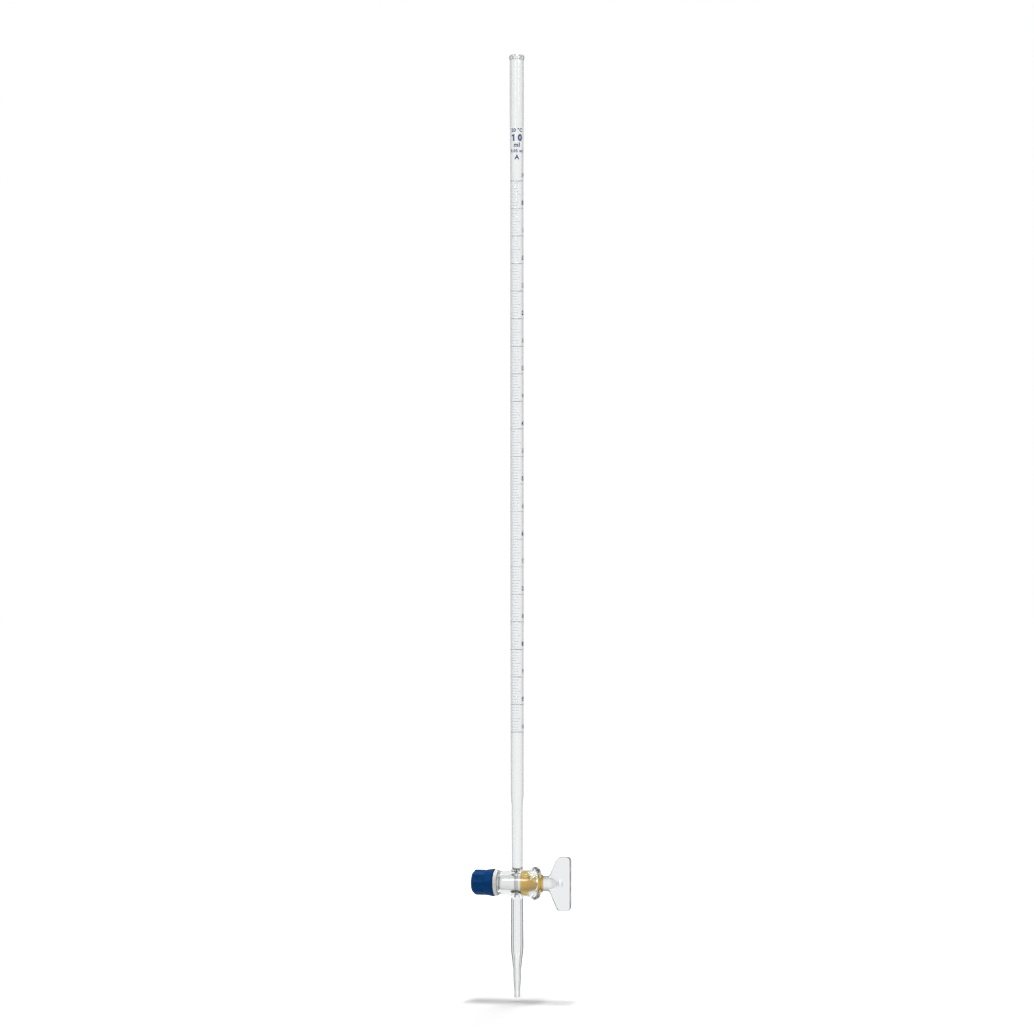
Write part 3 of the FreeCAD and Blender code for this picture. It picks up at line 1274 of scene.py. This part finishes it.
@dataclass
class Scale:
    """The fired print on the tube: rings, ticks, numerals and the plain label."""

    radius: float = GlassBody.bore + GlassBody.wall
    zero: float = 502.2
    length: float = 339.0
    spaces: int = 20
    divisions: int = 10
    line: float = 0.22
    skin: float = 0.03
    lift: float = 0.004
    short_arc: tuple[float, float] = (-46.0, 13.0)
    medium_arc: tuple[float, float] = (-46.0, 31.0)
    numeral_turn: float = 80.0
    numeral_rise: float = 3.4
    numeral_size: float = 3.6
    numeral_weight: float = 0.12
    label: tuple[PrintLine, ...] = (
        PrintLine("20 °C", 533.0, 3.0, 0.12, 1.05),
        PrintLine("10", 528.3, 5.4, 0.28, 1.5, flag=True),
        PrintLine("ml", 524.0, 3.8, 0.14),
        PrintLine("0.05 ml", 520.3, 2.6, 0.09),
        PrintLine("A", 516.4, 4.0, 0.13, 1.0),
    )

    def mark_tree(self, closed: bool) -> bpy.types.NodeTree:
        """Return the tree that repeats one band down the tube.

        Args:
            closed: whether the band runs all the way round.

        Returns:
            The geometry tree.
        """
        tree, given = geometry_tree("rings" if closed else "ticks", [
            ("Count", "NodeSocketInt", 10),
            ("Step", "NodeSocketFloat", 0.017),
            ("Top", "NodeSocketFloat", 0.5),
            ("Radius", "NodeSocketFloat", 0.0041),
            ("Start Angle", "NodeSocketFloat", 0.0),
            ("Sweep Angle", "NodeSocketFloat", 1.0),
            ("Line", "NodeSocketFloat", 0.0003),
            ("Skin", "NodeSocketFloat", 0.00005),
            ("Material", "NodeSocketMaterial", None),
        ])
        if closed:
            path = add_node(tree, "GeometryNodeCurvePrimitiveCircle",
                            inputs={"Resolution": ROUND, "Radius": given.outputs["Radius"]})
        else:
            path = add_node(tree, "GeometryNodeCurveArc",
                            inputs={"Resolution": 14, "Radius": given.outputs["Radius"],
                                    "Start Angle": given.outputs["Start Angle"],
                                    "Sweep Angle": given.outputs["Sweep Angle"]})
        section = add_node(tree, "GeometryNodeCurvePrimitiveQuadrilateral",
                           inputs={"Width": given.outputs["Skin"], "Height": given.outputs["Line"]})
        band = add_node(tree, "GeometryNodeCurveToMesh",
                        inputs={"Curve": path.outputs[0], "Profile Curve": section.outputs[0],
                                "Fill Caps": True})
        down = add_node(tree, "ShaderNodeMath", {"operation": "MULTIPLY"},
                        {0: given.outputs["Step"], 1: -1.0})
        offset = add_node(tree, "ShaderNodeCombineXYZ", inputs={2: down.outputs[0]})
        top = add_node(tree, "ShaderNodeCombineXYZ", inputs={2: given.outputs["Top"]})
        line = add_node(tree, "GeometryNodeMeshLine",
                        inputs={"Count": given.outputs["Count"], "Start Location": top.outputs[0],
                                "Offset": offset.outputs[0]})
        copies = add_node(tree, "GeometryNodeInstanceOnPoints",
                          inputs={"Points": line.outputs[0], "Instance": band.outputs[0]})
        end_tree(tree, copies.outputs[0], given.outputs["Material"])
        return tree

    def marks(self, name: str, tree: bpy.types.NodeTree, first: int, count: int,
              arc: tuple[float, float], enamel: bpy.types.Material) -> bpy.types.Object:
        """Make one mark in every space of the scale.

        Args:
            name: the object's name.
            tree: the geometry tree.
            first: the mark's division in its space.
            count: how many there are.
            arc: start and end, in degrees to the right of the photographed side.
            enamel: the print's enamel.

        Returns:
            The marks as a plain mesh.
        """
        step = self.length / (self.spaces * self.divisions)
        facing = math.radians(VIEW_TURN - 90.0)
        return grown(name, tree, {
            "Count": count,
            "Step": self.divisions * step * MM,
            "Top": (self.zero - first * step) * MM,
            "Radius": (self.radius + self.skin / 2) * MM,
            "Start Angle": facing + math.radians(arc[0]),
            "Sweep Angle": math.radians(arc[1] - arc[0]),
            "Line": self.line * MM,
            "Skin": self.skin * MM,
            "Material": enamel,
        })

    def flat_print(self, line: PrintLine) -> bmesh.types.BMesh:
        """Make a line of print as a thin flat mesh.

        Args:
            line: the print.

        Returns:
            The mesh, in millimetres round the line's middle.
        """
        curve = bpy.data.curves.new("print", "FONT")
        curve.body = line.text
        curve.align_x = "CENTER"
        curve.align_y = "CENTER"
        curve.size = line.size
        curve.offset = line.weight
        curve.space_character = line.spacing
        curve.extrude = self.skin / 2
        curve.resolution_u = 3
        sign = bpy.data.objects.new("print", curve)
        bpy.context.scene.collection.objects.link(sign)
        graph = bpy.context.evaluated_depsgraph_get()
        mesh = bpy.data.meshes.new_from_object(sign.evaluated_get(graph))
        shape = bmesh.new()
        shape.from_mesh(mesh)
        bpy.data.objects.remove(sign)
        bpy.data.meshes.remove(mesh)
        bmesh.ops.remove_doubles(shape, verts=shape.verts, dist=1e-4)
        return shape

    def add_flag(self, shape: bmesh.types.BMesh, size: float) -> None:
        """Add the slanted stroke at the top of a leading figure one.

        Args:
            shape: the flat lettering in millimetres.
            size: the capitals' size.
        """
        left = min(v.co.x for v in shape.verts)
        top = max(v.co.y for v in shape.verts if v.co.x < left + 0.1 * size)
        reach, drop, stroke = 0.2 * size, 0.16 * size, 0.17 * size
        corners = [
            (left + 0.1, top),
            (left - reach, top - drop),
            (left - reach, top - drop - stroke),
            (left + 0.1, top - stroke * 1.1),
        ]
        back = [shape.verts.new((x, y, -self.skin / 2)) for x, y in corners]
        front = [shape.verts.new((x, y, self.skin / 2)) for x, y in corners]
        shape.faces.new(list(reversed(back)))
        shape.faces.new(front)
        fill_rows(shape, [back, front])

    def print_radius(self, height: float) -> float:
        """Return the tube's radius at this height, where it swells towards the mouth."""
        share = min(1.0, max(0.0, (height - SWELL_START) / (SWELL_END - SWELL_START)))
        return self.radius + SWELL * share

    def lettering(self, line: PrintLine, turn: float) -> bpy.types.Object:
        """Make a line of plain print bent round the tube.

        Args:
            line: the print.
            turn: degrees to the right of the photographed side.

        Returns:
            The bent lettering as a mesh object.
        """
        shape = self.flat_print(line)
        if line.flag:
            self.add_flag(shape, line.size)
        for _ in range(3):
            long = [e for e in shape.edges if abs(e.verts[0].co.x - e.verts[1].co.x) > 0.3]
            if long:
                bmesh.ops.subdivide_edges(shape, edges=long, cuts=1)
                bmesh.ops.triangulate(shape, faces=[f for f in shape.faces if len(f.verts) > 4])
        facing = math.radians(VIEW_TURN - 90.0 + turn)
        outside = self.print_radius(line.height) + self.lift + self.skin / 2
        for vertex in shape.verts:
            angle = facing + vertex.co.x / outside
            out = (outside + vertex.co.z) * MM
            rise = (line.height + vertex.co.y) * MM
            vertex.co = Vector((out * math.cos(angle), out * math.sin(angle), rise))
        face_outward(shape)
        return bare_object("print", shape)

    def numeral(self, k: int) -> PrintLine:
        """Return the numeral of the k-th full ring, which counts half millilitres."""
        height = self.zero - self.length * k / self.spaces + self.numeral_rise
        return PrintLine(f"{k / 2:g}", height, self.numeral_size, self.numeral_weight)

    def build(self, dark: bpy.types.Material, pale: bpy.types.Material) -> list[bpy.types.Object]:
        """Build the whole print and tie it to the glass.

        Args:
            dark: the deep blue enamel of the figures.
            pale: the faint grey enamel of the marks.

        Returns:
            The finished pieces.
        """
        rings = self.marks("ring_marks", self.mark_tree(True), 0, self.spaces + 1, (0.0, 1.0), pale)
        ticks = self.mark_tree(False)
        half = self.divisions // 2
        short = [self.marks("short", ticks, k, self.spaces, self.short_arc, pale)
                 for k in range(1, self.divisions) if k != half]
        medium = self.marks("medium", ticks, half, self.spaces, self.medium_arc, pale)
        tick_marks = joined("tick_marks", [*short, medium])
        figures = [self.lettering(self.numeral(k), self.numeral_turn) for k in range(self.spaces + 1)]
        numerals = joined("numerals", figures)
        label = joined("label_print", [self.lettering(line, 0.0) for line in self.label])
        pieces = []
        for item, enamel in ((rings, pale), (tick_marks, pale), (numerals, dark), (label, dark)):
            dress(item, [enamel])
            pieces.append(finish_piece(item, "glass_body"))
        return pieces


@dataclass(frozen=True)
class Lamp:
    """One soft oval lamp: its place, the point it faces, its size in metres and its watts."""

    name: str
    where: tuple[float, float, float]
    target: tuple[float, float, float]
    size: tuple[float, float]
    power: float

    def hang(self) -> None:
        """Put the lamp in the scene."""
        light = bpy.data.lights.new(self.name, "AREA")
        light.shape = "ELLIPSE"
        light.size, light.size_y = self.size
        light.energy = self.power
        item = bpy.data.objects.new(self.name, light)
        item.location = self.where
        away = Vector(self.where) - Vector(self.target)
        item.rotation_euler = away.to_track_quat("Z", "Y").to_euler()
        bpy.context.scene.collection.objects.link(item)


@dataclass
class Studio:
    """White floor, soft lamps and the camera at the photograph's angle."""

    distance: float = 2.4
    height: float = 0.2955
    lens: float = 135.85
    roll: float = 0.0005
    floor_z: float = -0.0022
    fill: float = 0.07
    card: str = "#EDEDED"
    lamps: tuple[Lamp, ...] = (
        Lamp("overhead", (0.0, 0.05, 1.0), (0.0, 0.0, 0.0), (0.1, 0.4), 9.6),
        Lamp("front_left", (-1.6, -2.2, 1.6), (0.0, 0.0, 0.25), (1.3, 1.3), 38.0),
        Lamp("front_right", (1.9, -1.8, 1.4), (0.0, 0.0, 0.25), (1.3, 1.3), 16.0),
    )

    def world(self) -> None:
        """Make the white surroundings, dimmer for what only lights the object."""
        world = bpy.data.worlds.new("studio")
        world.use_nodes = True
        tree = world.node_tree
        tree.nodes.clear()
        path = add_node(tree, "ShaderNodeLightPath")
        seen = add_node(tree, "ShaderNodeMath", {"operation": "MAXIMUM"},
                        {0: path.outputs["Is Camera Ray"], 1: path.outputs["Is Glossy Ray"]})
        through = add_node(tree, "ShaderNodeMath", {"operation": "MAXIMUM"},
                           {0: seen.outputs[0], 1: path.outputs["Is Transmission Ray"]})
        level = add_node(tree, "ShaderNodeMapRange",
                         inputs={"Value": through.outputs[0], "To Min": self.fill, "To Max": 1.0})
        back = add_node(tree, "ShaderNodeBackground", inputs={"Color": WHITE, "Strength": level.outputs[0]})
        add_node(tree, "ShaderNodeOutputWorld", inputs={"Surface": back.outputs[0]})
        bpy.context.scene.world = world

    def card_material(self) -> bpy.types.Material:
        """Return white card that keeps the shadow near the object and glows white further out."""
        material = bpy.data.materials.new("white_card")
        material.use_nodes = True
        tree = material.node_tree
        tree.nodes.clear()
        spot = add_node(tree, "ShaderNodeTexCoord")
        away = add_node(tree, "ShaderNodeVectorMath", {"operation": "LENGTH"}, {0: spot.outputs["Object"]})
        far = add_node(tree, "ShaderNodeMapRange", {"interpolation_type": "SMOOTHSTEP"},
                       {"Value": away.outputs["Value"], "From Min": 0.12, "From Max": 0.7, "To Max": 1.1})
        path = add_node(tree, "ShaderNodeLightPath")
        glow = add_node(tree, "ShaderNodeMath", {"operation": "MULTIPLY"},
                        {0: path.outputs["Is Camera Ray"], 1: far.outputs[0]})
        light = add_node(tree, "ShaderNodeEmission", inputs={"Color": WHITE, "Strength": glow.outputs[0]})
        card = add_node(tree, "ShaderNodeBsdfDiffuse", inputs={"Color": linear(self.card)})
        both = add_node(tree, "ShaderNodeAddShader", inputs={0: light.outputs[0], 1: card.outputs[0]})
        plain = add_node(tree, "ShaderNodeEmission", inputs={"Color": WHITE, "Strength": 1.0})
        bent = add_node(tree, "ShaderNodeMath", {"operation": "MAXIMUM"},
                        {0: path.outputs["Is Glossy Ray"], 1: path.outputs["Is Transmission Ray"]})
        final = add_node(tree, "ShaderNodeMixShader",
                         inputs={0: bent.outputs[0], 1: both.outputs[0], 2: plain.outputs[0]})
        add_node(tree, "ShaderNodeOutputMaterial", inputs={"Surface": final.outputs[0]})
        return material

    def floor(self) -> None:
        """Make the floor."""
        shape = bmesh.new()
        bmesh.ops.create_grid(shape, x_segments=8, y_segments=8, size=8.0)
        for vertex in shape.verts:
            vertex.co.z = self.floor_z
        floor = bare_object("floor", shape)
        floor.data.materials.append(self.card_material())

    def camera(self) -> None:
        """Set the camera level at the photograph's height and angle."""
        turn = math.radians(VIEW_TURN)
        back = Vector((math.sin(turn), -math.cos(turn), 0.0))
        data = bpy.data.cameras.new("camera")
        data.lens = self.lens
        data.sensor_width = 36.0
        data.clip_end = 50.0
        item = bpy.data.objects.new("camera", data)
        item.location = back * self.distance + Vector((0.0, 0.0, self.height))
        item.rotation_mode = "QUATERNION"
        roll = Quaternion((0.0, 0.0, 1.0), -self.roll)
        item.rotation_quaternion = (-back).to_track_quat("-Z", "Y") @ roll
        bpy.context.scene.collection.objects.link(item)
        bpy.context.scene.camera = item

    def build(self) -> None:
        """Set up the whole studio."""
        self.world()
        self.floor()
        for lamp in self.lamps:
            lamp.hang()
        self.camera()
        bpy.context.scene.view_settings.view_transform = "Standard"


def body_glasses(ground: bpy.types.Material) -> dict[BodyGlass, bpy.types.Material]:
    """Make the glasses of the tube and stopcock.

    Args:
        ground: the ground glass, which the key shares.

    Returns:
        Each glass by its place.
    """
    return {
        # Drawn tube: painted shade makes a soft grey line along each wall round a nearly white middle.
        BodyGlass.DRAWN: GlassFinish("borosilicate_glass", (
            (0.0, "#F7F8F8"), (0.26, "#EFF1F1"), (0.34, "#B2B6B8"), (0.6, "#9DA1A3"),
            (0.97, "#6E7376"))).build(),
        BodyGlass.GROUND: ground,
        # Thick-walled jet: painted shade draws a dark line at the wall and a second one where the bore is
        # magnified.
        BodyGlass.JET: GlassFinish("jet_borosilicate_glass_painted_shade", (
            (0.0, "#F4F5F5"), (0.15, "#EFF0F0"), (0.165, "#404447"), (0.235, "#404447"),
            (0.25, "#DADCDD"), (0.48, "#D5D8D9"), (0.58, "#3E4346"), (0.97, "#24282B"))).build(),
        # Fire-polished lip: painted shade darkens it quickly towards its edge, which draws the mouth.
        BodyGlass.LIP: GlassFinish("lip_borosilicate_glass_painted_shade", (
            (0.0, "#F4F5F5"), (0.25, "#D5D8D9"), (0.5, "#7C8184"), (0.97, "#3C4042"))).build(),
        # Precision bore: nearly plain, with only faint painted shade, so that it adds no second outline.
        BodyGlass.BORE: GlassFinish("precision_bore_borosilicate_glass", (
            (0.0, "#F7F8F8"), (0.4, "#EDEFEF"), (0.97, "#DEE1E1"))).build(),
        # Blown barrel and bead: pale nearly to the edge, as thick clear glass looks on white, with painted
        # shade only at the grazing edge.
        BodyGlass.BARREL: GlassFinish("barrel_borosilicate_glass_painted_shade", (
            (0.0, "#F7F8F8"), (0.45, "#EEF0F0"), (0.75, "#CDD0D1"), (0.97, "#8E9395"))).build(),
    }


def key_glasses(ground: bpy.types.Material) -> dict[KeyGlass, bpy.types.Material]:
    """Make the glasses of the key.

    Args:
        ground: the ground glass, which the bore shares.

    Returns:
        Each glass by its place.
    """
    return {
        # Pressed handle: a faint grey over its face and slightly wavy, as pressed glass is, with painted
        # shade darkening towards its edges.
        KeyGlass.PRESSED: GlassFinish("pressed_borosilicate_glass", (
            (0.0, "#EDEEEF"), (0.08, "#E4E6E7"), (0.22, "#B4B8BA"), (0.45, "#84888B"),
            (0.97, "#5E6265")), 0.001).build(),
        KeyGlass.GROUND: ground,
        # Pressed rim: painted shade, darker than the face, as the handle's narrow sides are seen through
        # their whole height.
        KeyGlass.RIM: GlassFinish("handle_rim_borosilicate_glass_painted_shade", (
            (0.0, "#9DA1A4"), (0.45, "#7C8083"), (0.97, "#4C5054")), 0.001).build(),
    }


def main() -> None:
    """Build every piece in order, then the studio."""
    logging.basicConfig(level=logging.INFO, format="%(message)s")
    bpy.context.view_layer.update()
    ground = GroundGlassFinish("ground_borosilicate_glass").build()
    of_key = key_glasses(ground)
    GlassBody().build(body_glasses(ground))
    key = Key()
    key.build(of_key)
    key.build_sleeve(AmberFinish("amber_plastic_film").build())
    key.build_thread(of_key[KeyGlass.PRESSED])
    # Fluoropolymer: a dull warm white that light enters a little way.
    Washer().build(PlasticFinish("white_fluoropolymer", "#CFCCC8", "#C1BEBA", 0.4, 0.55,
                                 scatter=0.2).build())
    # Nitrile rubber: matt black with a coarse skin.
    SealRing().build(PlasticFinish("black_nitrile_rubber", "#1C1D1E", "#121314", 0.6, 0.8,
                                   grain_mm=0.03, ior=1.52).build())
    # Polypropylene: deep blue all through, with a low satin gloss.
    Nut().build(PlasticFinish("blue_polypropylene", "#003768", "#00315F", 0.4, 0.55,
                              specular=0.05).build())
    dark_print = EnamelFinish("navy_fired_enamel", "#102D66", "#1C3D7A").build()
    pale_print = EnamelFinish("grey_fired_enamel", "#B4B9C1", "#C9CDD3").build()
    Scale().build(dark_print, pale_print)
    Studio().build()


if __name__ == "__main__":
    main()
